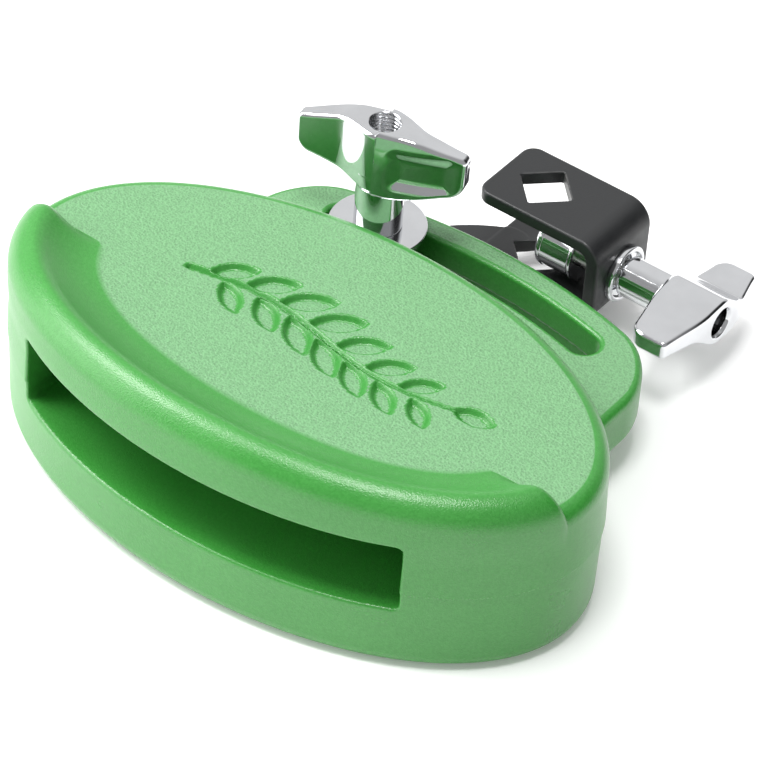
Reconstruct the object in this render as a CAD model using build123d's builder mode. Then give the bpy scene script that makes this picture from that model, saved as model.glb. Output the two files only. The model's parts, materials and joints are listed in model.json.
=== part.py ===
"""Percussion block with a steel rod clamp, in millimetres.

The moulded block lies on its flat base with its long axis along X.  The origin is the centre of
the base, +Y points to the rear mounting lobe and +Z is up.  A clamp bracket hangs under the lobe
on a carriage bolt that slides along a curved slot, and its U-shaped end grips a vertical rod.
"""

import os
from math import atan2, cos, degrees, radians, sin, sqrt

from build123d import *

# ---- block ----
BLOCK_HALF_LENGTH = 87.8
BLOCK_HALF_DEPTH = 52.0
PARTING_Z = 26.0
TOP_Z = 46.6
CREST_Z = 57.5
CREST_END_DROP = 5.0
WALL_DRAFT = 2.0
BASE_DRAFT = 1.0
BASE_EDGE_RADIUS = 5.0
TOP_EDGE_RADIUS = 3.5

# ---- striking ridge along the front edge of the top ----
COVE_HALF_LENGTH = 63.0
COVE_HALF_DEPTH = 28.5
CREST_INSET = 5.0
COVE_PROFILE = ((0.0, 0.0), (0.3, 0.1), (0.57, 0.3), (0.8, 0.62), (0.91, 0.83), (1.0, 1.0))
RIDGE_END_X = 73.0
RIDGE_END_Y = -2.0
RIDGE_END_RADIUS = 14.0
RIDGE_EDGE_RADIUS = 3.0

# ---- sound chamber, open to the front ----
CHAMBER_WIDTH = 118.5
CHAMBER_FLOOR_Z = 20.0
CHAMBER_ROOF_Z = 41.0
CHAMBER_BACK_Y = 30.0
CHAMBER_BACK_RADIUS = 12.0

# ---- rear mounting lobe and its curved slot ----
LOBE_TOP_Z = 25.0
LOBE_THICKNESS = 14.8
LOBE_OUTER_RADIUS = 170.0
LOBE_REACH = 87.0
LOBE_HALF_WIDTH = 62.0
LOBE_CORNER_RADIUS = 17.0
LOBE_EDGE_RADIUS = 2.5
SLOT_INSET = 12.6
SLOT_WIDTH = 8.8
SLOT_HALF_ANGLE = 14.6

ARC_CENTRE_Y = LOBE_REACH - LOBE_OUTER_RADIUS
SLOT_RADIUS = LOBE_OUTER_RADIUS - SLOT_INSET
LOBE_BOTTOM_Z = LOBE_TOP_Z - LOBE_THICKNESS

# ---- slot bolt, where it stands in the slot ----
BOLT_X = -29.5
BOLT_Y = ARC_CENTRE_Y + sqrt(SLOT_RADIUS**2 - BOLT_X**2)
BOLT_DIAMETER = 8.0
BOLT_HEAD_DIAMETER = 19.0
BOLT_HEAD_HEIGHT = 4.2
BOLT_TOP_Z = 50.0
THREAD_CLEARANCE = 0.08
SQUARE_NECK = 8.0
NECK_HOLE = 8.2

WASHER_DIAMETER = 27.0
WASHER_THICKNESS = 1.5
WASHER_BORE = 8.6

# ---- wing heads ----
HUB_RADIUS = 7.0
WING_ROUND = 3.0
NUT_STEM_DIAMETER = 13.4
NUT_STEM_HEIGHT = 15.0
NUT_HEIGHT = 34.5
NUT_TIP_BOTTOM = 19.3
NUT_TIP_TOP = 30.6
NUT_REACH = 24.4
NUT_TIP_FRONT = -3.4
NUT_TIP_BACK = 2.2
SLOT_NUT_ANGLE = 14.8

CLAMP_STEM_DIAMETER = 11.5
CLAMP_STEM_HEIGHT = 13.5
CLAMP_HEIGHT = 30.2
CLAMP_TIP_BOTTOM = 15.7
CLAMP_TIP_TOP = 26.8
CLAMP_REACH = 23.6
CLAMP_TIP_FRONT = -5.4
CLAMP_TIP_BACK = 0.3

# ---- clamp bracket ----
PLATE = 4.0
ARM_TOP_Z = LOBE_BOTTOM_Z
ARM_BOTTOM_Z = ARM_TOP_Z - PLATE
ARM_END_X = -9.0
ARM_END_Y = 103.0
ARM_END_ANGLE = 28.0
ARM_WIDTH = 16.0
ARM_BOSS_RADIUS = 11.5
JAW_LEFT_X = -13.2
JAW_RIGHT_X = 27.3
JAW_Y = 106.0
JAW_DEPTH = 25.6
JAW_HEIGHT = 27.8
JAW_BEND_RADIUS = 7.0
JAW_CORNER_RADIUS = 4.5
ROD_HOLE_X = 1.0
ROD_HOLE_SIDE = 12.0

# ---- clamp screw and pad, on an axis along X ----
SCREW_Z = ARM_BOTTOM_Z + 12.4
SCREW_DIAMETER = 8.0
PAD_LEFT_X = 3.6
PAD_LENGTH = 12.0
PAD_DIAMETER = 16.2
PAD_SOCKET = 6.0
SPIGOT_DIAMETER = 6.0
STUD_RECESS = 9.0
FLANGE_DIAMETER = 16.5
FLANGE_THICKNESS = 2.0
BUSHING_DIAMETER = 11.0
CLAMP_STEM_GAP = 0.1
CLAMP_WING_TURN = 90.0

os.makedirs("parts", exist_ok=True)


def save(piece, label):
    """Label one finished piece and write it."""
    piece.part.label = label
    export_step(piece.part, f"parts/{label}.step")


# ==== block body: one moulding with ridge, chamber, lobe and slot ====
def rear_lobe(height_from, height_to):
    """Lobe outline: an arc at the back with rounded corners, running into the block."""
    with BuildPart(mode=Mode.PRIVATE) as lobe:
        with BuildSketch(Plane.XY.offset(height_from)) as outline:
            with Locations((0, ARC_CENTRE_Y)):
                Circle(LOBE_OUTER_RADIUS)
            with Locations((0, LOBE_REACH / 2)):
                Rectangle(2 * LOBE_HALF_WIDTH, LOBE_REACH + 10, mode=Mode.INTERSECT)
            rear_corners = outline.vertices().group_by(Axis.Y)[-1]
            fillet(rear_corners, LOBE_CORNER_RADIUS)
        extrude(amount=height_to - height_from)
        rims = lobe.edges().filter_by(lambda e: abs(e.center().Z - height_to) < 0.01)
        rims += lobe.edges().filter_by(lambda e: abs(e.center().Z - height_from) < 0.01)
        rear_rims = rims.filter_by(lambda e: e.center().Y > 20)
        fillet(rear_rims, LOBE_EDGE_RADIUS)
    return lobe.part


def curved_slot(height_from, height_to, width):
    """Through slot along an arc about the block's slot centre."""
    with BuildPart(mode=Mode.PRIVATE) as slot:
        with BuildSketch(Plane.XY.offset(height_from)):
            with BuildLine():
                CenterArc((0, ARC_CENTRE_Y), SLOT_RADIUS, 90 - SLOT_HALF_ANGLE, 2 * SLOT_HALF_ANGLE)
                offset(amount=width / 2)
            make_face()
        extrude(amount=height_to - height_from)
    return slot.part


def cove():
    """Smooth bowl behind the ridge: level ellipses that widen as they climb to the crest."""
    reach_x = BLOCK_HALF_LENGTH - CREST_INSET - COVE_HALF_LENGTH
    reach_y = BLOCK_HALF_DEPTH - CREST_INSET - COVE_HALF_DEPTH
    rise = CREST_Z - TOP_Z
    with BuildPart(mode=Mode.PRIVATE) as bowl:
        for out, up in COVE_PROFILE:
            with BuildSketch(Plane.XY.offset(TOP_Z + up * rise)):
                Ellipse(COVE_HALF_LENGTH + out * reach_x, COVE_HALF_DEPTH + out * reach_y)
        loft()
    return bowl.part


def crest_arch():
    """Everything under a long low arch, which sets the ridge's height from end to end."""
    end_z = CREST_Z - CREST_END_DROP
    with BuildPart(mode=Mode.PRIVATE) as arch:
        with BuildSketch(Plane.XZ):
            with BuildLine():
                crest = ThreePointArc((-BLOCK_HALF_LENGTH, end_z), (0, CREST_Z),
                                      (BLOCK_HALF_LENGTH, end_z))
                Polyline(crest @ 1, (BLOCK_HALF_LENGTH, PARTING_Z),
                         (-BLOCK_HALF_LENGTH, PARTING_Z), crest @ 0)
            make_face()
        extrude(amount=BLOCK_HALF_DEPTH, both=True)
    return arch.part


def behind_ridge():
    """Space above the flat top: all of the rear, cut back round the two ridge ends."""
    with BuildPart(mode=Mode.PRIVATE) as space:
        with BuildSketch(Plane.XY.offset(TOP_Z)):
            with Locations((0, RIDGE_END_Y - RIDGE_END_RADIUS + BLOCK_HALF_DEPTH)):
                Rectangle(3 * BLOCK_HALF_LENGTH, 2 * BLOCK_HALF_DEPTH)
            with Locations((-RIDGE_END_X, RIDGE_END_Y - RIDGE_END_RADIUS),
                           (RIDGE_END_X, RIDGE_END_Y - RIDGE_END_RADIUS)):
                Circle(RIDGE_END_RADIUS, mode=Mode.SUBTRACT)
        extrude(amount=CREST_Z - TOP_Z + 1)
    return space.part


with BuildPart() as block_body:
    with BuildSketch(Plane.XY.offset(PARTING_Z)):
        Ellipse(BLOCK_HALF_LENGTH, BLOCK_HALF_DEPTH)
    extrude(amount=CREST_Z - PARTING_Z, taper=WALL_DRAFT)
    add(crest_arch(), mode=Mode.INTERSECT)
    fillet(block_body.faces().sort_by(Axis.Z)[-1].edges(), RIDGE_EDGE_RADIUS)
    add(cove(), mode=Mode.SUBTRACT)
    add(behind_ridge(), mode=Mode.SUBTRACT)
    level_edges = block_body.edges().filter_by(lambda e: abs(e.center().Z - TOP_Z) < 0.01)
    top_rims = level_edges.filter_by(lambda e: e.center().Y > 10)
    fillet(top_rims, TOP_EDGE_RADIUS)
    with BuildSketch(Plane.XY.offset(PARTING_Z)):
        Ellipse(BLOCK_HALF_LENGTH, BLOCK_HALF_DEPTH)
    extrude(amount=-PARTING_Z, taper=BASE_DRAFT)
    fillet(block_body.faces().sort_by(Axis.Z)[0].edges(), BASE_EDGE_RADIUS)
    add(rear_lobe(LOBE_BOTTOM_Z, LOBE_TOP_Z))
    add(curved_slot(0, LOBE_TOP_Z + 1, SLOT_WIDTH), mode=Mode.SUBTRACT)
    with BuildSketch(Plane.XY.offset(CHAMBER_FLOOR_Z)) as chamber:
        with Locations((0, CHAMBER_BACK_Y - 50)):
            Rectangle(CHAMBER_WIDTH, 100)
        fillet(chamber.vertices().group_by(Axis.Y)[-1], CHAMBER_BACK_RADIUS)
    extrude(amount=CHAMBER_ROOF_Z - CHAMBER_FLOOR_Z, mode=Mode.SUBTRACT)
save(block_body, "block_body")


# ==== wing heads: round stem, hub and two offset wings, bored for the thread ====
def wing_head(stem_diameter, stem_height, tip_bottom, tip_top, height, reach,
              tip_front, tip_back, bore_depth):
    """Wing head standing on Z = 0 with its wings along X, one set forward and one set back."""
    tip_x = reach - WING_ROUND
    bend_front = -HUB_RADIUS + 0.27 * (HUB_RADIUS + tip_front)
    with BuildPart(mode=Mode.PRIVATE) as head:
        with BuildSketch(Plane.XY.offset(stem_height - 4)):
            Circle(HUB_RADIUS)
            for turn in (0, 180):
                with BuildLine(Rot(0, 0, turn)):
                    front = Spline((0, -HUB_RADIUS), (9, bend_front), (tip_x, tip_front),
                                   tangents=((1, 0), (1, 0.12)))
                    tip = TangentArc(front @ 1, (tip_x, tip_back), tangent=front % 1)
                    back = Spline(tip @ 1, (11, tip_back + 0.6), (4.2, HUB_RADIUS * 0.82),
                                  tangents=((-1, 0), (-0.75, 0.66)))
                    Polyline(back @ 1, (0, 0), front @ 0)
                make_face()
        extrude(amount=height - stem_height + 4)
        with BuildSketch(Plane.XZ):
            with BuildLine():
                Polyline((-reach - 1, tip_bottom), (-tip_x, tip_bottom),
                         (-HUB_RADIUS, stem_height), (HUB_RADIUS, stem_height),
                         (tip_x, tip_bottom), (reach + 1, tip_bottom),
                         (reach + 1, tip_top), (HUB_RADIUS + 1, height),
                         (-HUB_RADIUS - 1, height), (-reach - 1, tip_top), close=True)
            make_face()
        extrude(amount=reach, both=True, mode=Mode.INTERSECT)
        with BuildSketch():
            Circle(stem_diameter / 2)
        extrude(amount=height - 1)
        with Locations((0, 0, height)):
            Hole(BOLT_DIAMETER / 2 + THREAD_CLEARANCE, depth=bore_depth)
    return head.part


# ==== slot nut: washer, wing nut and the carriage bolt from below ====
with BuildPart() as slot_washer:
    with BuildSketch(Plane.XY.offset(LOBE_TOP_Z)):
        with Locations((BOLT_X, BOLT_Y)):
            Circle(WASHER_DIAMETER / 2)
            Circle(WASHER_BORE / 2, mode=Mode.SUBTRACT)
    extrude(amount=WASHER_THICKNESS)
save(slot_washer, "slot_washer")

NUT_BASE = Location((BOLT_X, BOLT_Y, LOBE_TOP_Z + WASHER_THICKNESS), (0, 0, SLOT_NUT_ANGLE))
with BuildPart() as slot_wing_nut:
    head = wing_head(NUT_STEM_DIAMETER, NUT_STEM_HEIGHT, NUT_TIP_BOTTOM, NUT_TIP_TOP, NUT_HEIGHT,
                     NUT_REACH, NUT_TIP_FRONT, NUT_TIP_BACK, bore_depth=NUT_HEIGHT)
    add(head.moved(NUT_BASE))
save(slot_wing_nut, "slot_wing_nut")

with BuildPart() as slot_bolt:
    with BuildSketch(Plane.XY.offset(ARM_BOTTOM_Z - BOLT_HEAD_HEIGHT)):
        with Locations((BOLT_X, BOLT_Y)):
            Circle(BOLT_HEAD_DIAMETER / 2)
    extrude(amount=BOLT_HEAD_HEIGHT)
    fillet(slot_bolt.faces().sort_by(Axis.Z)[0].edges(), BOLT_HEAD_HEIGHT - 1.0)
    with BuildSketch(Plane.XY.offset(ARM_BOTTOM_Z)):
        with Locations((BOLT_X, BOLT_Y)):
            Rectangle(SQUARE_NECK, SQUARE_NECK)
    extrude(amount=PLATE)
    with BuildSketch(Plane.XY.offset(ARM_TOP_Z)):
        with Locations((BOLT_X, BOLT_Y)):
            Circle(BOLT_DIAMETER / 2)
    extrude(amount=BOLT_TOP_Z - ARM_TOP_Z)
    chamfer(slot_bolt.faces().sort_by(Axis.Z)[-1].edges(), 1.0)
save(slot_bolt, "slot_bolt")

# ==== clamp bracket: curved arm from the bolt, ending in a U-shaped jaw ====
JAW_TOP_Z = ARM_BOTTOM_Z + JAW_HEIGHT
JAW_MID_X = (JAW_LEFT_X + JAW_RIGHT_X) / 2
JAW_MID_Z = (JAW_TOP_Z + ARM_BOTTOM_Z) / 2
JAW_LENGTH = JAW_RIGHT_X - JAW_LEFT_X
ARM_CHORD_ANGLE = degrees(atan2(ARM_END_Y - BOLT_Y, ARM_END_X - BOLT_X))
ARM_START_ANGLE = radians(2 * ARM_CHORD_ANGLE - ARM_END_ANGLE)

with BuildPart() as clamp_bracket:
    with BuildSketch(Plane.XZ.offset(JAW_DEPTH / 2 - JAW_Y)) as jaw:
        with Locations((JAW_MID_X, JAW_MID_Z)):
            Rectangle(JAW_LENGTH, JAW_HEIGHT)
        fillet(jaw.vertices().group_by(Axis.X)[-1], JAW_BEND_RADIUS)
        with BuildSketch(mode=Mode.SUBTRACT) as gap:
            with Locations((JAW_MID_X - PLATE, JAW_MID_Z)):
                Rectangle(JAW_LENGTH, JAW_HEIGHT - 2 * PLATE)
            fillet(gap.vertices().group_by(Axis.X)[-1], JAW_BEND_RADIUS - PLATE)
    extrude(amount=-JAW_DEPTH)
    free_corners = clamp_bracket.edges().filter_by(Axis.Z).group_by(Axis.X)[0]
    fillet(free_corners.group_by(Axis.Z)[-1], JAW_CORNER_RADIUS)
    with BuildSketch(Plane.XY.offset(ARM_BOTTOM_Z)):
        with BuildLine():
            TangentArc((BOLT_X, BOLT_Y), (ARM_END_X, ARM_END_Y),
                       tangent=(cos(ARM_START_ANGLE), sin(ARM_START_ANGLE)))
            offset(amount=ARM_WIDTH / 2)
        make_face()
        with Locations((BOLT_X, BOLT_Y)):
            Circle(ARM_BOSS_RADIUS)
    extrude(amount=PLATE)
    with BuildSketch(Plane.XY.offset(ARM_BOTTOM_Z)):
        with Locations((BOLT_X, BOLT_Y)):
            Rectangle(NECK_HOLE, NECK_HOLE)
        with Locations((ROD_HOLE_X, JAW_Y)):
            Rectangle(ROD_HOLE_SIDE, ROD_HOLE_SIDE, rotation=45)
    extrude(amount=JAW_HEIGHT, mode=Mode.SUBTRACT)
    with BuildSketch(Plane.YZ.offset(JAW_RIGHT_X - PLATE - 1)):
        with Locations((JAW_Y, SCREW_Z)):
            Circle(BUSHING_DIAMETER / 2)
    extrude(amount=PLATE + 2, mode=Mode.SUBTRACT)
save(clamp_bracket, "clamp_bracket")


# ==== clamp screw: flanged bushing in the jaw, stud, wing and pressure pad ====
with BuildPart() as clamp_bushing:
    with BuildSketch(Plane.YZ.offset(JAW_RIGHT_X - PLATE)):
        with Locations((JAW_Y, SCREW_Z)):
            Circle(BUSHING_DIAMETER / 2)
    extrude(amount=PLATE)
    with BuildSketch(Plane.YZ.offset(JAW_RIGHT_X)):
        with Locations((JAW_Y, SCREW_Z)):
            Circle(FLANGE_DIAMETER / 2)
    extrude(amount=FLANGE_THICKNESS)
    fillet(clamp_bushing.faces().sort_by(Axis.X)[-1].edges(), 0.6)
    with BuildSketch(Plane.YZ.offset(JAW_RIGHT_X - PLATE)):
        with Locations((JAW_Y, SCREW_Z)):
            Circle(SCREW_DIAMETER / 2 + THREAD_CLEARANCE)
    extrude(amount=PLATE + FLANGE_THICKNESS, mode=Mode.SUBTRACT)
save(clamp_bushing, "clamp_bushing")

STEM_END_X = JAW_RIGHT_X + FLANGE_THICKNESS + CLAMP_STEM_GAP
CLAMP_HEAD = Location((STEM_END_X, JAW_Y, SCREW_Z)) * Location((0, 0, 0), (0, 90, 0))
CLAMP_HEAD *= Location((0, 0, 0), (0, 0, CLAMP_WING_TURN))
with BuildPart() as clamp_wing:
    head = wing_head(CLAMP_STEM_DIAMETER, CLAMP_STEM_HEIGHT, CLAMP_TIP_BOTTOM, CLAMP_TIP_TOP,
                     CLAMP_HEIGHT, CLAMP_REACH, CLAMP_TIP_FRONT, CLAMP_TIP_BACK,
                     bore_depth=CLAMP_HEIGHT)
    add(head.moved(CLAMP_HEAD))
save(clamp_wing, "clamp_wing")

PAD_RIGHT_X = PAD_LEFT_X + PAD_LENGTH
STUD_END_X = STEM_END_X + CLAMP_HEIGHT - STUD_RECESS
with BuildPart() as clamp_stud:
    with BuildSketch(Plane.YZ.offset(PAD_RIGHT_X)):
        with Locations((JAW_Y, SCREW_Z)):
            Circle(SCREW_DIAMETER / 2)
    extrude(amount=STUD_END_X - PAD_RIGHT_X)
    chamfer(clamp_stud.faces().sort_by(Axis.X)[-1].edges(), 0.8)
    with BuildSketch(Plane.YZ.offset(PAD_RIGHT_X)):
        with Locations((JAW_Y, SCREW_Z)):
            Circle(SPIGOT_DIAMETER / 2)
    extrude(amount=-PAD_SOCKET)
save(clamp_stud, "clamp_stud")

with BuildPart() as pressure_pad:
    with BuildSketch(Plane.YZ.offset(PAD_LEFT_X)):
        with Locations((JAW_Y, SCREW_Z)):
            Circle(PAD_DIAMETER / 2)
    extrude(amount=PAD_LENGTH)
    chamfer(pressure_pad.edges().filter_by(GeomType.CIRCLE), 0.8)
    with BuildSketch(Plane.YZ.offset(PAD_RIGHT_X)):
        with Locations((JAW_Y, SCREW_Z)):
            Circle(SPIGOT_DIAMETER / 2 + THREAD_CLEARANCE)
    extrude(amount=-PAD_SOCKET, mode=Mode.SUBTRACT)
save(pressure_pad, "pressure_pad")
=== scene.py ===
"""Percussion block with its rod clamp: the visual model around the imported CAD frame.

Each visible piece is described by a field, a function that is negative inside the piece, in
millimetres.  build() turns a field into a fine mesh whose points lie on the field's zero surface.
"""
import json
from math import cos, pi, radians, sin, sqrt

import bmesh
import bpy
import numpy as np
from mathutils import Matrix, Vector


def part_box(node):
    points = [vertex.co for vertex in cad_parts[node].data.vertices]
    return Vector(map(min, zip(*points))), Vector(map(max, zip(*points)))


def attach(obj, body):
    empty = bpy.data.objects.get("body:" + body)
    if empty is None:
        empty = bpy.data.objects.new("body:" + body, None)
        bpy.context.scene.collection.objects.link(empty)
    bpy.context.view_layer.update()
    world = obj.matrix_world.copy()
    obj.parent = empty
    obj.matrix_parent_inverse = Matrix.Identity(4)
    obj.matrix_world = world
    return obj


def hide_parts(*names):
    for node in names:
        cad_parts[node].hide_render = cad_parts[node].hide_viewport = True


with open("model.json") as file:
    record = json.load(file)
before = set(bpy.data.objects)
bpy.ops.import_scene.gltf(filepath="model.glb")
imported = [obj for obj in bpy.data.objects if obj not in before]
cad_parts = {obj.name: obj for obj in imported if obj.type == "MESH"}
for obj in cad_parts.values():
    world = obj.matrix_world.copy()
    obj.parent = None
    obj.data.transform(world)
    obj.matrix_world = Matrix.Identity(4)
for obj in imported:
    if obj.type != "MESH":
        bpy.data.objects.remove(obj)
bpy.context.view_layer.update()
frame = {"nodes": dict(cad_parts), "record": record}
scene = bpy.context.scene
MM = 0.001


def corners(node):
    """Lowest and highest corner of a CAD node, in millimetres."""
    low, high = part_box(node)
    return np.array(low) / MM, np.array(high) / MM


def joint_place(name):
    """A joint's position in millimetres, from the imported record."""
    joints = frame["record"]["behaviour"]["joints"]
    found = next(joint for joint in joints if joint["name"] == name)
    return np.array(found["pos_m"]) / MM


# ==== camera ====
CAMERA_PLACE = (0.4715, -0.6628, 0.7596)
CAMERA_RIGHT = (0.7984, 0.5993, 0.0576)
CAMERA_UP = (-0.4341, 0.5068, 0.7448)
CAMERA_BACK = (0.4172, -0.6197, 0.6648)
CAMERA_LENS = 200.5

camera_data = bpy.data.cameras.new("camera")
camera_data.lens = CAMERA_LENS
camera_data.sensor_width = 36.0
camera = bpy.data.objects.new("camera", camera_data)
scene.collection.objects.link(camera)
turn = Matrix((CAMERA_RIGHT, CAMERA_UP, CAMERA_BACK)).transposed()
camera.matrix_world = Matrix.Translation(CAMERA_PLACE) @ turn.to_4x4()
scene.camera = camera


# ==== field helpers ====
def round_and(a, b, radius):
    """Where both fields are inside, with the edge between them rounded."""
    over = np.hypot(np.maximum(a + radius, 0), np.maximum(b + radius, 0))
    return np.minimum(np.maximum(a, b), -radius) + over


def round_or(a, b, radius):
    """Where either field is inside, with a fillet in the corner between them."""
    return -round_and(-a, -b, radius)


def smooth(t):
    """0 below 0, 1 above 1, and a smooth step between."""
    t = np.clip(t, 0, 1)
    return t * t * (3 - 2 * t)


def ellipse(x, y, a, b):
    """Distance from an ellipse with half axes a and b, close to exact near its line."""
    inner = np.hypot(x / a, y / b)
    slope = np.hypot(x / (a * a), y / (b * b)) + 1e-9
    return inner * (inner - 1) / slope


def rounded_box(u, v, half_u, half_v, radius):
    """Distance from a rectangle with rounded corners."""
    du = np.abs(u) - half_u + radius
    dv = np.abs(v) - half_v + radius
    outside = np.hypot(np.maximum(du, 0), np.maximum(dv, 0))
    return outside + np.minimum(np.maximum(du, dv), 0) - radius


GRID_MARGIN = 2.37
PROJECTIONS = 4
LONGEST_MOVE = 0.4
SLOPE_FLOOR = 0.05
SLOPE_REACH = 0.1


def surface(field, low, high, step):
    """Points, quads and normals of a field's zero surface between two corners."""
    low = np.array(low) - GRID_MARGIN * step
    count = np.ceil((np.array(high) - low) / step).astype(int) + 3
    axes = [low[k] + step * np.arange(count[k]) for k in range(3)]
    value = np.empty(count, np.float32)
    for i in range(count[0]):
        value[i] = field(axes[0][i], axes[1][:, None], axes[2][None, :])
    inside = value < 0
    cells = np.zeros(count - 1, np.int8)
    total = np.zeros(tuple(count - 1) + (3,), np.float32)
    for axis in range(3):
        ahead = [slice(1, None) if k == axis else slice(None) for k in range(3)]
        behind = [slice(None, -1) if k == axis else slice(None) for k in range(3)]
        first, second = value[tuple(behind)], value[tuple(ahead)]
        crossed = inside[tuple(behind)] != inside[tuple(ahead)]
        part = np.where(crossed, first / np.where(crossed, first - second, 1), 0)
        others = [k for k in range(3) if k != axis]
        for shift_u in (0, 1):
            for shift_v in (0, 1):
                pick = [slice(None)] * 3
                pick[others[0]] = slice(shift_u, shift_u + count[others[0]] - 1)
                pick[others[1]] = slice(shift_v, shift_v + count[others[1]] - 1)
                hit = crossed[tuple(pick)]
                cells += hit
                total[..., axis] += np.where(hit, part[tuple(pick)], 0)
                total[..., others[0]] += hit * shift_u
                total[..., others[1]] += hit * shift_v
    used = cells > 0
    number = np.full(cells.shape, -1, np.int32)
    number[used] = np.arange(used.sum())
    points = np.argwhere(used) + total[used] / cells[used][:, None]
    points = low + step * points
    quads = []
    for axis in range(3):
        u, v = (axis + 1) % 3, (axis + 2) % 3
        ahead = [slice(1, None) if k == axis else slice(None) for k in range(3)]
        behind = [slice(None, -1) if k == axis else slice(None) for k in range(3)]
        change = inside[tuple(behind)].astype(np.int8) - inside[tuple(ahead)]
        where = np.argwhere(change != 0)
        sign = change[tuple(where.T)]
        ring = []
        for du, dv in ((0, 0), (-1, 0), (-1, -1), (0, -1)):
            cell = where.copy()
            cell[:, u] += du
            cell[:, v] += dv
            ring.append(number[tuple(cell.T)])
        ring = np.stack(ring, axis=1)
        ring[sign < 0] = ring[sign < 0][:, ::-1]
        quads.append(ring)
    quads = np.concatenate(quads)
    for _ in range(PROJECTIONS):
        here, slope = gradient(field, points, step)
        move = -here / np.maximum((slope ** 2).sum(1), SLOPE_FLOOR)
        points += slope * np.clip(move, -LONGEST_MOVE * step, LONGEST_MOVE * step)[:, None]
    normals = gradient(field, points, step)[1]
    normals /= np.linalg.norm(normals, axis=1, keepdims=True) + 1e-9
    return points, quads, normals


def gradient(field, points, step):
    """The field and its slope at each point."""
    reach = SLOPE_REACH * step
    here = field(*points.T)
    slope = np.empty_like(points)
    for axis in range(3):
        shift = np.zeros(3)
        shift[axis] = reach
        ahead, behind = points + shift, points - shift
        slope[:, axis] = (field(*ahead.T) - field(*behind.T)) / (2 * reach)
    return here, slope


def add_mesh(name, points, faces, normals, material):
    """A smooth mesh object from points in millimetres."""
    mesh = bpy.data.meshes.new(name)
    mesh.from_pydata((points * MM).tolist(), [], faces.tolist())
    mesh.polygons.foreach_set("use_smooth", np.ones(len(faces), bool))
    mesh.normals_split_custom_set_from_vertices(normals.tolist())
    mesh.materials.append(material)
    piece = bpy.data.objects.new(name, mesh)
    scene.collection.objects.link(piece)
    return piece


def build(name, field, low, high, step, material, body, node):
    """The piece that stands for one CAD node, riding on its body."""
    points, quads, normals = surface(field, low, high, step)
    piece = add_mesh(name, points, quads, normals, material)
    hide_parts(node)
    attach(piece, body)
    return piece


# ==== materials ====
def new_material(name):
    """A node material and its main shader."""
    material = bpy.data.materials.new(name)
    material.use_nodes = True
    return material, material.node_tree.nodes["Principled BSDF"]


def add_node(material, kind, **inputs):
    """A shader node with some of its inputs set."""
    node = material.node_tree.nodes.new(kind)
    for key, value in inputs.items():
        node.inputs[key].default_value = value
    return node


def link(material, source, target):
    """Joins an output socket to an input socket."""
    material.node_tree.links.new(source, target)


def place(material):
    """The object's own coordinates, which ride with the piece."""
    return add_node(material, "ShaderNodeTexCoord").outputs["Object"]


def noise(material, scale, detail=2.0, rough=0.5):
    """Noise in object coordinates."""
    node = add_node(material, "ShaderNodeTexNoise", Scale=scale, Detail=detail, Roughness=rough)
    link(material, place(material), node.inputs["Vector"])
    return node.outputs["Fac"]


def ramp(material, source, low, high, to_low, to_high):
    """Maps a value from one range to another, held at both ends."""
    node = add_node(material, "ShaderNodeMapRange")
    node.inputs["From Min"].default_value = low
    node.inputs["From Max"].default_value = high
    node.inputs["To Min"].default_value = to_low
    node.inputs["To Max"].default_value = to_high
    link(material, source, node.inputs["Value"])
    return node.outputs["Result"]


def maths(material, operation, first, second):
    """A math node on two sockets or numbers."""
    node = add_node(material, "ShaderNodeMath")
    node.operation = operation
    for socket, value in zip(node.inputs, (first, second)):
        if isinstance(value, (int, float)):
            socket.default_value = value
        else:
            link(material, value, socket)
    return node.outputs["Value"]


def blend_colour(material, factor, first, second):
    """A mix by a factor socket of two colours, each a socket or three numbers."""
    node = add_node(material, "ShaderNodeMix")
    node.data_type = "RGBA"
    link(material, factor, node.inputs["Factor"])
    colours = [socket for socket in node.inputs if socket.type == "RGBA"]
    for socket, colour in zip(colours, (first, second)):
        if isinstance(colour, tuple):
            socket.default_value = (*colour, 1)
        else:
            link(material, colour, socket)
    return next(socket for socket in node.outputs if socket.type == "RGBA")


def bump(material, height, distance, shader, strength=1.0):
    """A bump from a height socket, in metres."""
    node = add_node(material, "ShaderNodeBump", Distance=distance, Strength=strength)
    link(material, height, node.inputs["Height"])
    link(material, node.outputs["Normal"], shader.inputs["Normal"])


GREEN_LIGHT = (0.050, 0.285, 0.046)
GREEN_DEEP = (0.028, 0.220, 0.026)
# paler green for the grained level tops: a painted sheen standing in for the white haze of light on them
GREEN_GRAIN_SHEEN = (0.160, 0.370, 0.166)


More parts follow.
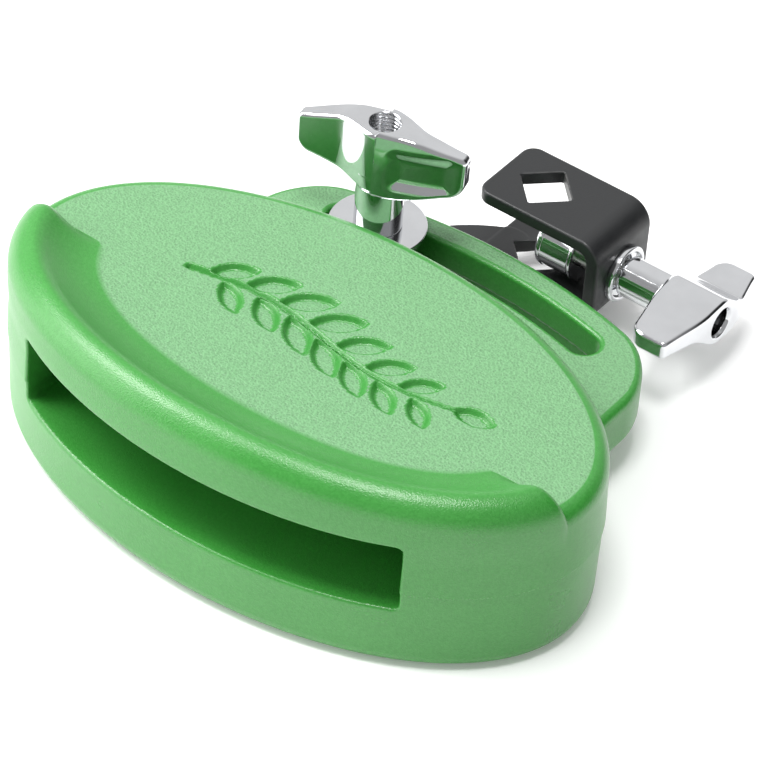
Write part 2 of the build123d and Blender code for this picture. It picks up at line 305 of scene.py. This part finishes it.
def green_plastic():
    """Moulded plastic: pebble grain on the level tops, a much finer grain elsewhere; the grained tops
    are painted a paler green as a painted sheen, and their pits are painted darker as painted shade.
    """
    material, shader = new_material("green_plastic")
    normal = add_node(material, "ShaderNodeSeparateXYZ")
    facing = add_node(material, "ShaderNodeNewGeometry").outputs["Normal"]
    link(material, facing, normal.inputs["Vector"])
    spot = add_node(material, "ShaderNodeSeparateXYZ")
    link(material, place(material), spot.inputs["Vector"])
    level = ramp(material, normal.outputs["Z"], 0.992, 0.9992, 0.0, 1.0)
    over_chamber = ramp(material, spot.outputs["Z"], 0.0238, 0.0244, 0.0, 1.0)
    under_crest = ramp(material, spot.outputs["Z"], 0.0470, 0.0480, 1.0, 0.0)
    grain_and_sheen = maths(material, "MULTIPLY", level, maths(material, "MULTIPLY", over_chamber, under_crest))
    cell = add_node(material, "ShaderNodeTexVoronoi", Scale=1450.0, Randomness=1.0)
    link(material, place(material), cell.inputs["Vector"])
    pebbles = maths(material, "ADD", noise(material, 1600.0, 1.0, 0.5), cell.outputs["Distance"])
    satin = maths(material, "MULTIPLY", noise(material, 2500.0, 1.0, 0.5), 0.6)
    grain = maths(material, "MULTIPLY", pebbles, grain_and_sheen)
    bump(material, maths(material, "ADD", grain, satin), 0.00015, shader, 1.0)
    cloudy = ramp(material, noise(material, 28.0, 3.0), 0.3, 0.7, 0.0, 0.4)
    speck = ramp(material, noise(material, 1300.0, 1.0), 0.3, 0.7, 0.0, 0.6)
    cloudy = maths(material, "ADD", cloudy, speck)
    plain = blend_colour(material, cloudy, GREEN_DEEP, GREEN_LIGHT)
    # painted shade: the low spots of the pebble grain get a darker colour
    pit_shade = ramp(material, pebbles, 0.45, 1.25, 0.0, 1.0)
    pebbled_with_pit_shade = blend_colour(material, pit_shade, tuple(0.68 * part for part in GREEN_GRAIN_SHEEN), GREEN_GRAIN_SHEEN)
    # painted sheen: the grained level tops take the paler colour, every other face the plain green
    link(material, blend_colour(material, grain_and_sheen, plain, pebbled_with_pit_shade), shader.inputs["Base Color"])
    gloss = ramp(material, noise(material, 60.0, 4.0), 0.3, 0.7, 0.27, 0.35)
    link(material, maths(material, "ADD", gloss, maths(material, "MULTIPLY", grain_and_sheen, 0.1)),
         shader.inputs["Roughness"])
    shader.inputs["Specular IOR Level"].default_value = 0.65
    return material


def black_steel():
    """Satin black coating, worn lighter along its edges."""
    material, shader = new_material("black_steel")
    edge = add_node(material, "ShaderNodeNewGeometry").outputs["Pointiness"]
    worn = ramp(material, edge, 0.53, 0.60, 0.0, 1.0)
    patch = ramp(material, noise(material, 240.0, 4.0), 0.35, 0.65, 0.2, 1.0)
    worn = maths(material, "MULTIPLY", worn, patch)
    link(material, blend_colour(material, worn, (0.014, 0.015, 0.016), (0.105, 0.105, 0.102)),
         shader.inputs["Base Color"])
    link(material, ramp(material, noise(material, 180.0, 5.0), 0.3, 0.7, 0.34, 0.48),
         shader.inputs["Roughness"])
    bump(material, noise(material, 2200.0, 3.0), 0.00004, shader, 0.8)
    shader.inputs["Specular IOR Level"].default_value = 0.55
    return material


def polished(name, colour, low_rough, high_rough, ripple):
    """Plated metal with faint polishing ripple and uneven gloss."""
    material, shader = new_material(name)
    shader.inputs["Metallic"].default_value = 1.0
    shade = tuple(0.93 * part for part in colour)
    tone = ramp(material, noise(material, 90.0, 3.0), 0.35, 0.65, 0.0, 1.0)
    link(material, blend_colour(material, tone, shade, colour), shader.inputs["Base Color"])
    link(material, ramp(material, noise(material, 400.0, 4.0), 0.3, 0.7, low_rough, high_rough),
         shader.inputs["Roughness"])
    bump(material, noise(material, 140.0, 1.0), ripple, shader, 0.5)
    return material


GREEN = green_plastic()
BLACK = black_steel()
CHROME = polished("chrome", (0.74, 0.75, 0.77), 0.045, 0.085, 0.00003)
ZINC = polished("zinc_steel", (0.60, 0.60, 0.58), 0.22, 0.34, 0.00004)


# ==== block body ====
BLOCK_LOW, BLOCK_HIGH = corners("block_body")
HALF_LENGTH = BLOCK_HIGH[0]
HALF_DEPTH = -BLOCK_LOW[1]
CREST = BLOCK_HIGH[2]
LOBE_REACH = BLOCK_HIGH[1]
TOP = 46.6
PARTING = 26.0
PARTING_STEP = 0.35
PARTING_RUN = 0.4
DRAFT = 0.035
CREST_DROP = 5.0
CREST_INSET = 7.4
COVE_WIDTH = 17.6
COVE_LEAN = 0.1
COVE_POWER = 2.3
CREST_BLEND = 0.25
CLIMB_LIMIT = 1.15
RIDGE_END_LEFT, RIDGE_END_RIGHT = -1.5, -7.0
END_RUN_LEFT, END_RUN_RIGHT = 6.5, 5.0
END_POWER = 3.6
RIDGE_PROUD = 0.6
PROUD_DEPTH, PROUD_RUN = 12.0, 10.0
TOP_EDGE = 4.4
CREST_EDGE = 7.0
BASE_EDGE = 5.0
LOBE_RADIUS = 170.0
LOBE_TOP = 25.0
LOBE_BOTTOM = 10.2
LOBE_HALF_WIDTH = 62.0
LOBE_CORNER = 17.0
LOBE_FRONT = 22.0
LOBE_EDGE = 2.5
LOBE_FILLET = 0.9
SLOT_RADIUS = 157.4
SLOT_HALF_ANGLE = radians(14.6)
SLOT_HALF_WIDTH = 4.4
SLOT_EDGE = 1.3
LEDGE_DEPTH = 8.5
LEDGE_WIDTH = 0.45
LEDGE_RUN = 0.5
CHAMBER_HALF_WIDTH = 59.25
CHAMBER_LOW, CHAMBER_TOP = 20.0, 41.0
CHAMBER_BACK = 30.0
CHAMBER_CORNER = 12.0
CHAMBER_EDGE = 1.6
MOUTH_EDGE = 0.9
ARC_CENTRE = LOBE_REACH - LOBE_RADIUS
ENGRAVE_DEPTH = 1.5

# a generic leaf sprig, cut into the top where such blocks carry decoration
SPRIG_LEFT, SPRIG_RIGHT = -42.0, 44.0
SPRIG_Y = 6.0
SPRIG_WAVE = 3.2
LEAF_COUNT = 7
LEAF_LENGTH = 16.0
LEAF_HALF_WIDTH = 3.6
LEAF_TILT = radians(38)
LEAF_SHRINK = 0.3
LARGEST_LEAF = 2.5
STEM_HALF_WIDTH = 1.15
STEM_TAPER = 0.7
END_LEAF_LENGTH = 12
END_LEAF_HALF_WIDTH = 3.0
END_LEAF_TILT = 0.1
CUT_SLOPE = 1.5
CUT_START = 0.15


def leaf(x, y, root_x, root_y, angle, length, half_width):
    """Distance from a pointed leaf that grows from its root."""
    u = (x - root_x) * cos(angle) + (y - root_y) * sin(angle) - length / 2
    v = np.abs(-(x - root_x) * sin(angle) + (y - root_y) * cos(angle))
    radius = (length ** 2 / 4 + half_width ** 2) / (2 * half_width)
    return np.hypot(u, v + radius - half_width) - radius


def stem_line(x):
    """The sprig's stem, a long shallow wave."""
    turn = (x - SPRIG_LEFT) / (SPRIG_RIGHT - SPRIG_LEFT) * 2 * pi
    return SPRIG_Y + SPRIG_WAVE * np.sin(turn)


def engraving(x, y):
    """Depth cut into the top: a stem with paired leaves."""
    past_end = np.maximum(np.maximum(SPRIG_LEFT - x, x - SPRIG_RIGHT), 0)
    along = (x - SPRIG_LEFT) / (SPRIG_RIGHT - SPRIG_LEFT)
    shape = np.hypot(y - stem_line(x), past_end) - STEM_HALF_WIDTH + STEM_TAPER * np.clip(along, 0, 1)
    spacing = (SPRIG_RIGHT - SPRIG_LEFT - END_LEAF_LENGTH) / LEAF_COUNT
    for number in range(LEAF_COUNT):
        root = SPRIG_LEFT + 5 + spacing * number
        size = 1 - LEAF_SHRINK * abs(number - LARGEST_LEAF) / 4
        for side in (1, -1):
            start = root + (spacing / 2 if side < 0 else 0)
            blade = leaf(x, y, start, stem_line(start) + 1.0 * side, LEAF_TILT * side,
                         LEAF_LENGTH * size, LEAF_HALF_WIDTH * size)
            shape = np.minimum(shape, blade)
    blade = leaf(x, y, SPRIG_RIGHT - 2, stem_line(SPRIG_RIGHT), END_LEAF_TILT, END_LEAF_LENGTH,
                 END_LEAF_HALF_WIDTH)
    shape = np.minimum(shape, blade)
    return ENGRAVE_DEPTH * smooth(-shape / CUT_SLOPE + CUT_START)


def lobe_plan(x, y):
    """Plan outline of the rear lobe: an arc with rounded corners."""
    return round_and(np.hypot(x, y - ARC_CENTRE) - LOBE_RADIUS, np.abs(x) - LOBE_HALF_WIDTH,
                     LOBE_CORNER)


def slot_plan(x, y):
    """Distance from the curved slot's outline."""
    angle = np.arctan2(x, y - ARC_CENTRE)
    held = np.clip(angle, -SLOT_HALF_ANGLE, SLOT_HALF_ANGLE)
    near_x = SLOT_RADIUS * np.sin(held)
    near_y = ARC_CENTRE + SLOT_RADIUS * np.cos(held)
    return np.hypot(x - near_x, y - near_y) - SLOT_HALF_WIDTH


def block_field(x, y, z):
    """The moulded block: drafted walls, ridge with its cove, lobe, slot and sound chamber."""
    above = np.maximum(z - PARTING, 0)
    below = np.maximum(PARTING - z, 0)
    inset = DRAFT * above + 0.5 * DRAFT * below
    inset = inset + PARTING_STEP * smooth((PARTING - z) / PARTING_RUN)
    wall = ellipse(x, y, HALF_LENGTH - inset, HALF_DEPTH - inset)
    across = (x / HALF_LENGTH + 1) / 2
    far_end = RIDGE_END_LEFT + (RIDGE_END_RIGHT - RIDGE_END_LEFT) * across
    end_run = END_RUN_LEFT + (END_RUN_RIGHT - END_RUN_LEFT) * across
    ridge = 1 - (1 - np.clip((far_end - y) / end_run, 0, 1)) ** END_POWER
    climb = np.clip((COVE_WIDTH + CREST_INSET + wall) / COVE_WIDTH, 0, CLIMB_LIMIT)
    share = COVE_LEAN * climb + (1 - COVE_LEAN) * climb ** COVE_POWER
    rise = (CREST - CREST_DROP * (x / HALF_LENGTH) ** 2 - TOP) * ridge
    held = np.minimum(share, 1) - np.maximum(CREST_BLEND - np.abs(share - 1), 0) ** 2
    steep = COVE_LEAN + (1 - COVE_LEAN) * COVE_POWER * climb ** (COVE_POWER - 1)
    steep = steep * rise / COVE_WIDTH * np.clip((1 + CREST_BLEND - share) / (2 * CREST_BLEND), 0, 1)
    roof = (z - TOP - rise * held + engraving(x, y)) / np.sqrt(1 + steep ** 2)
    proud = RIDGE_PROUD * ridge * smooth((z - TOP + PROUD_DEPTH) / PROUD_RUN)
    body = round_and(wall - proud, roof, TOP_EDGE + (CREST_EDGE - TOP_EDGE) * ridge)
    body = round_and(body, -z, BASE_EDGE)
    chamber = round_and(np.abs(x) - CHAMBER_HALF_WIDTH, y - CHAMBER_BACK,
                        CHAMBER_CORNER)
    middle = (CHAMBER_TOP + CHAMBER_LOW) / 2
    chamber = round_and(chamber, np.abs(z - middle) - (CHAMBER_TOP - CHAMBER_LOW) / 2, CHAMBER_EDGE)
    body = round_and(body, -chamber, MOUTH_EDGE)
    flange = np.abs(z - (LOBE_TOP + LOBE_BOTTOM) / 2) - (LOBE_TOP - LOBE_BOTTOM) / 2
    lobe = np.maximum(round_and(lobe_plan(x, y), flange, LOBE_EDGE), LOBE_FRONT - y)
    body = round_or(body, lobe, LOBE_FILLET)
    ledge = LEDGE_WIDTH * smooth((LOBE_TOP - LEDGE_DEPTH - z) / LEDGE_RUN)
    return round_and(body, -slot_plan(x, y) + ledge, SLOT_EDGE)


# ==== wing heads ====
THREAD_RADIUS = 4.1
THREAD_DEPTH = 0.62
THREAD_PITCH = 1.25
THREAD_CUT = 0.96
THREAD_FLARE = 0.35
PLAIN_RADIUS = 4.12
PLAIN_FLARE = 1.0
BORE_EDGE = 0.22
WING_CORNER = 4.2
WING_EDGE = 1.25
WING_ROOF_EDGE = 1.6
WING_ROOT = 13.0
WING_SWEEP = 1.8
SCOOP_MIDDLE, SCOOP_HALF_LENGTH = 0.53, 0.40
SCOOP_CORNER = 3.2
SCOOP_RUN = 5.5
STEM_EDGE = 0.4
STEM_FILLET = 0.7


def thread(x, y, z, top):
    """A tapped bore along z that opens with a chamfer just below the height top."""
    angle = np.arctan2(y, x) / (2 * pi)
    phase = (z / THREAD_PITCH - angle) % 1.0
    groove = THREAD_RADIUS + THREAD_DEPTH * (1 - np.abs(2 * phase - 1))
    flare = np.maximum(z - top + THREAD_FLARE, 0)
    return np.hypot(x, y) - np.maximum(groove * THREAD_CUT, THREAD_RADIUS + flare)


def wing_field(size, tapped):
    """Field of a wing head standing on z = 0 with its wings along x."""
    hub, reach, height = size["hub"], size["reach"], size["height"]

    def field(x, y, z):
        side = np.where(x < 0, -1.0, 1.0)
        along, across = x * side, y * side
        far = np.clip(along / (reach - 3), 0, 1.2)
        back = size["back"] + (hub - size["back"]) * (1 - smooth(along / WING_ROOT))
        front = size["front"] - (hub + size["front"]) * (1 - far ** WING_SWEEP)
        front = front + size["lean"] * (z - size["scoop"])
        scoop = rounded_box(along - reach * SCOOP_MIDDLE, z - size["scoop"],
                            reach * SCOOP_HALF_LENGTH, size["scoop_half"], SCOOP_CORNER)
        front = front + size["scoop_depth"] * smooth(0.15 - scoop / SCOOP_RUN)
        plan = np.maximum(across - back, front - across) / 1.04
        roof = height - (height - size["tip_top"]) * smooth((along - hub * 0.8) / (reach - 2))
        floor = size["stem_top"] + (size["tip_bottom"] - size["stem_top"]) * smooth(
            (along - hub * 0.5) / (reach - hub * 0.5))
        profile = round_and(along - reach, (floor - z) / 1.03, WING_CORNER)
        profile = round_and(profile, (z - roof) / 1.02, WING_ROOF_EDGE)
        wing = round_and(profile, plan, WING_EDGE)
        stem = round_and(np.hypot(x, y) - size["stem"], -z, STEM_EDGE)
        stem = np.maximum(stem, z - size["stem_top"] - 4)
        whole = round_or(wing, stem, STEM_FILLET)
        if tapped:
            bore = thread(x, y, z, height)
        else:
            bore = np.hypot(x, y) - PLAIN_RADIUS - 0.5 * np.maximum(z - height + PLAIN_FLARE, 0)
        return round_and(whole, -bore, BORE_EDGE)

    return field


def turned(field, origin, axes):
    """A field moved to an origin, its own x, y and z set along the given directions."""
    def moved(x, y, z):
        x, y, z = x - origin[0], y - origin[1], z - origin[2]
        local = [x * axis[0] + y * axis[1] + z * axis[2] for axis in axes]
        return field(*local)
    return moved


def centred(low, high, axis):
    """Middle of a box, with the given axis at its low side."""
    middle = (low + high) / 2
    middle[axis] = low[axis]
    return middle


NUT_TURN = radians(14.8)
NUT_LOW, NUT_HIGH = corners("slot_wing_nut")
NUT = {"hub": 7.0, "reach": 24.2, "height": NUT_HIGH[2] - NUT_LOW[2], "back": 2.2, "front": -3.4,
       "tip_top": 30.2, "tip_bottom": 18.6, "stem": 6.7, "stem_top": 15.0,
       "scoop": 24.2, "scoop_half": 6.6, "scoop_depth": 1.3, "lean": 0.12}
NUT_AXES = ((cos(NUT_TURN), sin(NUT_TURN), 0), (-sin(NUT_TURN), cos(NUT_TURN), 0), (0, 0, 1))

CLAMP_LOW, CLAMP_HIGH = corners("clamp_wing")
CLAMP = {"hub": 7.0, "reach": 23.0, "height": CLAMP_HIGH[0] - CLAMP_LOW[0], "back": 0.3,
         "front": -5.4, "tip_top": 26.4, "tip_bottom": 15.4, "stem": 5.75, "stem_top": 13.0,
         "scoop": 21.0, "scoop_half": 6.2, "scoop_depth": 0.5, "lean": 0.0}
CLAMP_AXES = ((0, 1, 0), (0, 0, 1), (1, 0, 0))


# ==== clamp bracket ====
BRACKET_LOW, BRACKET_HIGH = corners("clamp_bracket")
PLATE = 4.0
SEAT_GAP = 0.05
ARM_HALF_WIDTH = 8.0
BOSS_RADIUS = 11.5
ARM_END = np.array((-9.0, 103.0))
ARM_END_ANGLE = radians(28)
JAW_LEFT = -13.2
JAW_HALF_DEPTH = 12.8
BEND = 7.0
ROD_HOLE = np.array((1.0, 106.0))
ROD_HOLE_HALF = 6.0
ROD_HOLE_CORNER = 0.6
ROD_HOLE_EDGE = 0.5
BOSS_FILLET = 4.0
PLATE_EDGE = 0.7
JAW_CORNER = 4.2
JAW_OUTER_EDGE, JAW_INNER_EDGE = 0.9, 0.8
JAW_FILLET = 0.6
NECK_HALF = 4.1
BUSH_SEAT_RADIUS = 5.5
SEAT_EDGE = 0.3
BOLT = joint_place("bracket_swivel")
SCREW = joint_place("clamp_screw_turn")


def arm_arc():
    """Centre, radius and end angles of the arm's centre line."""
    direction = np.array((cos(ARM_END_ANGLE), sin(ARM_END_ANGLE)))
    normal = np.array((-direction[1], direction[0]))
    back = BOLT[:2] - ARM_END
    radius = back @ back / (2 * (back @ normal))
    centre = ARM_END + radius * normal
    angles = [np.arctan2(p[1] - centre[1], p[0] - centre[0]) for p in (BOLT[:2], ARM_END)]
    return centre, abs(radius), angles


def bracket_field(x, y, z):
    """Bent steel plate: bolt boss, curved arm and U jaw with its diamond rod holes."""
    centre, radius, angles = arm_arc()
    middle = (angles[0] + angles[1]) / 2
    half = abs(angles[0] - angles[1]) / 2
    angle = np.arctan2(y - centre[1], x - centre[0]) - middle
    angle = (angle + pi) % (2 * pi) - pi
    held = middle + np.clip(angle, -half, half)
    arm = np.hypot(x - centre[0] - radius * np.cos(held), y - centre[1] - radius * np.sin(held))
    boss = np.hypot(x - BOLT[0], y - BOLT[1]) - BOSS_RADIUS
    plan = round_or(arm - ARM_HALF_WIDTH, boss, BOSS_FILLET)
    base = BRACKET_LOW[2]
    arm = round_and(plan, np.abs(z - base - PLATE / 2) - PLATE / 2 + SEAT_GAP, PLATE_EDGE)
    length = BRACKET_HIGH[0] - JAW_LEFT
    height = BRACKET_HIGH[2] - base
    mid_x, mid_z = (BRACKET_HIGH[0] + JAW_LEFT) / 2, base + height / 2
    outer = rounded_box(x - mid_x + BEND, z - mid_z, length / 2 + BEND, height / 2, BEND)
    inner = rounded_box(x - mid_x + BEND + PLATE, z - mid_z, length / 2 + BEND,
                        height / 2 - PLATE, BEND - PLATE)
    depth = np.abs(y - ROD_HOLE[1]) - JAW_HALF_DEPTH
    plan = round_and(depth, JAW_LEFT - x, JAW_CORNER)
    jaw = round_and(round_and(outer, plan, JAW_OUTER_EDGE), -inner, JAW_INNER_EDGE)
    whole = round_or(arm, jaw, JAW_FILLET)
    u, v = x - ROD_HOLE[0], y - ROD_HOLE[1]
    hole = rounded_box((u + v) * sqrt(0.5), (u - v) * sqrt(0.5), ROD_HOLE_HALF, ROD_HOLE_HALF,
                       ROD_HOLE_CORNER)
    whole = round_and(whole, -hole, ROD_HOLE_EDGE)
    neck = np.maximum(np.abs(x - BOLT[0]), np.abs(y - BOLT[1])) - NECK_HALF
    bore = np.maximum(np.hypot(y - SCREW[1], z - SCREW[2]) - BUSH_SEAT_RADIUS,
                      BRACKET_HIGH[0] - PLATE - 2 - x)
    return round_and(round_and(whole, -neck, SEAT_EDGE), -bore, SEAT_EDGE)


# ==== turned pieces ====
def lathe(profile, origin, axis, segments=160):
    """Points and quads of a closed profile, given as (along, radius), turned about an axis."""
    profile = np.array(profile)
    turn = 2 * pi * np.arange(segments) / segments
    along, radius = profile[:, 0], profile[:, 1]
    u, v = [(k + axis) % 3 for k in (1, 2)]
    points = np.empty((len(profile), segments, 3))
    points[..., axis] = along[:, None]
    points[..., u] = radius[:, None] * np.cos(turn)
    points[..., v] = radius[:, None] * np.sin(turn)
    points = (points + np.array(origin)).reshape(-1, 3)
    quads = []
    for ring in range(len(profile)):
        after = (ring + 1) % len(profile)
        for step in range(segments):
            beyond = (step + 1) % segments
            quads.append((ring * segments + step, ring * segments + beyond,
                          after * segments + beyond, after * segments + step))
    return points, quads


def soft_corners(corners_list, arc_steps=5):
    """A profile whose corners, given as (along, radius, rounding), are replaced by short arcs."""
    rounded = []
    count = len(corners_list)
    for number, (a, r, size) in enumerate(corners_list):
        here = np.array((a, r))
        before = np.array(corners_list[number - 1][:2]) - here
        after = np.array(corners_list[(number + 1) % count][:2]) - here
        before, after = before / np.linalg.norm(before), after / np.linalg.norm(after)
        if size == 0:
            rounded.append(tuple(here))
            continue
        for step in range(arc_steps + 1):
            t = step / arc_steps
            pull = before * (1 - t) ** 2 + after * t ** 2
            rounded.append(tuple(here + size * pull))
    return rounded


def turned_piece(name, profile, origin, axis, material, body, node):
    """A turned piece that stands for one CAD node."""
    points, quads = lathe(soft_corners(profile), origin, axis)
    mesh = bpy.data.meshes.new(name)
    mesh.from_pydata((points * MM).tolist(), [], quads)
    mesh.polygons.foreach_set("use_smooth", np.ones(len(quads), bool))
    mesh.materials.append(material)
    mesh.validate()
    fix_normals(mesh)
    piece = bpy.data.objects.new(name, mesh)
    scene.collection.objects.link(piece)
    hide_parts(node)
    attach(piece, body)
    return piece


def fix_normals(mesh):
    """Turns every face outwards and marks sharp corners."""
    work = bmesh.new()
    work.from_mesh(mesh)
    bmesh.ops.recalc_face_normals(work, faces=work.faces)
    work.to_mesh(mesh)
    work.free()
    mesh.set_sharp_from_angle(angle=radians(40))


# ==== assembly ====
BLOCK_STEP = 0.62
PART_STEP = 0.25
BRACKET_STEP = 0.4

build("block", block_field, BLOCK_LOW, BLOCK_HIGH, BLOCK_STEP, GREEN, "block", "block_body")
build("slot_nut", turned(wing_field(NUT, True), centred(NUT_LOW, NUT_HIGH, 2), NUT_AXES),
      NUT_LOW, NUT_HIGH, PART_STEP, CHROME, "slot_nut", "slot_wing_nut")
build("screw_wing", turned(wing_field(CLAMP, False), (CLAMP_LOW[0], SCREW[1], SCREW[2]), CLAMP_AXES),
      CLAMP_LOW, CLAMP_HIGH, PART_STEP, CHROME, "clamp_screw", "clamp_wing")
build("bracket", bracket_field, BRACKET_LOW, BRACKET_HIGH, BRACKET_STEP, BLACK, "bracket",
      "clamp_bracket")

WASHER_LOW, WASHER_HIGH = corners("slot_washer")
WASHER_RADIUS = (WASHER_HIGH[0] - WASHER_LOW[0]) / 2
WASHER_THICK = WASHER_HIGH[2] - WASHER_LOW[2]
turned_piece("washer", [(0, 4.3, 0.2), (0, WASHER_RADIUS, 0.3), (WASHER_THICK, WASHER_RADIUS, 0.45),
                        (WASHER_THICK, 4.3, 0.2)],
             (BOLT[0], BOLT[1], WASHER_LOW[2]), 2, CHROME, "slot_slider", "slot_washer")

BUSH_LOW, BUSH_HIGH = corners("clamp_bushing")
BUSH_RADIUS = (BUSH_HIGH[1] - BUSH_LOW[1]) / 2
BUSH_LENGTH = BUSH_HIGH[0] - BUSH_LOW[0]
turned_piece("bushing", [(0, 4.1, 0.2), (0, 5.45, 0.3), (PLATE, 5.45, 0), (PLATE, BUSH_RADIUS, 0.3),
                         (BUSH_LENGTH, BUSH_RADIUS, 0.7), (BUSH_LENGTH, 6.9, 0.35),
                         (BUSH_LENGTH - 1.1, 6.4, 0.2), (BUSH_LENGTH - 1.1, 4.1, 0.2)],
             (BUSH_LOW[0], SCREW[1], SCREW[2]), 0, CHROME, "bracket", "clamp_bushing")

PAD_LOW, PAD_HIGH = corners("pressure_pad")
PAD_RADIUS = (PAD_HIGH[1] - PAD_LOW[1]) / 2
PAD_LENGTH = PAD_HIGH[0] - PAD_LOW[0]
turned_piece("pad", [(0, 0.01, 0), (0, PAD_RADIUS - 0.9, 0.5), (0.9, PAD_RADIUS, 0.5),
                     (1.9, PAD_RADIUS, 0.2), (2.2, PAD_RADIUS - 0.35, 0.2),
                     (PAD_LENGTH - 1.2, PAD_RADIUS - 0.35, 0.3), (PAD_LENGTH - 0.9, PAD_RADIUS, 0.3),
                     (PAD_LENGTH, PAD_RADIUS, 0.5), (PAD_LENGTH, 3.1, 0.2), (PAD_LENGTH - 5.9, 3.1, 0.1),
                     (PAD_LENGTH - 5.9, 0.01, 0)],
             (PAD_LOW[0], SCREW[1], SCREW[2]), 0, CHROME, "pad", "pressure_pad")

for node, material in (("slot_bolt", ZINC), ("clamp_stud", ZINC)):
    piece = frame["nodes"][node]
    piece.material_slots[0].material = material


# ==== studio ====
LIGHT_AIM = Vector((0, 0.02, 0.03))


def add_light(name, place_at, size, power):
    """A soft square light that faces the block."""
    data = bpy.data.lights.new(name, "AREA")
    data.shape = "SQUARE"
    data.size = size
    data.energy = power
    lamp = bpy.data.objects.new(name, data)
    lamp.location = place_at
    aim = LIGHT_AIM - Vector(place_at)
    lamp.rotation_euler = aim.to_track_quat("-Z", "Y").to_euler()
    scene.collection.objects.link(lamp)


add_light("key", (-0.76, -0.26, 1.02), 0.5, 11.5)
add_light("overhead", (0.08, -0.16, 1.25), 0.36, 9.5)
add_light("side", (-1.0, -0.60, 0.45), 1.0, 10.0)


OPENING = (0.66, 0.66, 0.36)
GLOW = (-0.42, 0.62, 0.66)


def toward(world, direction, low, high, to_low, to_high):
    """A value that changes with how nearly a ray looks along a direction."""
    product = add_node(world, "ShaderNodeVectorMath")
    product.operation = "DOT_PRODUCT"
    product.inputs[1].default_value = direction
    link(world, add_node(world, "ShaderNodeTexCoord").outputs["Generated"], product.inputs[0])
    return ramp(world, product.outputs["Value"], low, high, to_low, to_high)


def studio_world():
    """A white tent, brightest high at the back left, with one dark opening at the back right."""
    world = bpy.data.worlds.new("studio")
    world.use_nodes = True
    background = world.node_tree.nodes["Background"]
    background.inputs["Color"].default_value = (1, 1, 1, 1)
    shade = maths(world, "MULTIPLY", toward(world, OPENING, 0.80, 0.94, 1.0, 0.08),
                  toward(world, GLOW, 0.30, 0.90, 0.40, 0.85))
    link(world, shade, background.inputs["Strength"])
    return world


world = studio_world()
scene.world = world

floor_material, floor_shader = new_material("floor")
pale = ramp(floor_material, noise(floor_material, 6.0, 2.0), 0.3, 0.7, 0.0, 1.0)
link(floor_material, blend_colour(floor_material, pale, (0.90, 0.90, 0.90), (0.92, 0.92, 0.92)),
     floor_shader.inputs["Base Color"])
floor_shader.inputs["Roughness"].default_value = 0.8
floor_shader.inputs["Emission Color"].default_value = (1, 1, 1, 1)
floor_shader.inputs["Emission Strength"].default_value = 0.15
FLOOR_HALF = 6.0
floor_mesh = bpy.data.meshes.new("floor")
floor_mesh.from_pydata([(-FLOOR_HALF, -FLOOR_HALF, 0), (FLOOR_HALF, -FLOOR_HALF, 0),
                        (FLOOR_HALF, FLOOR_HALF, 0), (-FLOOR_HALF, FLOOR_HALF, 0)], [], [(0, 1, 2, 3)])
floor_mesh.materials.append(floor_material)
floor = bpy.data.objects.new("floor", floor_mesh)
scene.collection.objects.link(floor)

scene.view_settings.view_transform = "Standard"
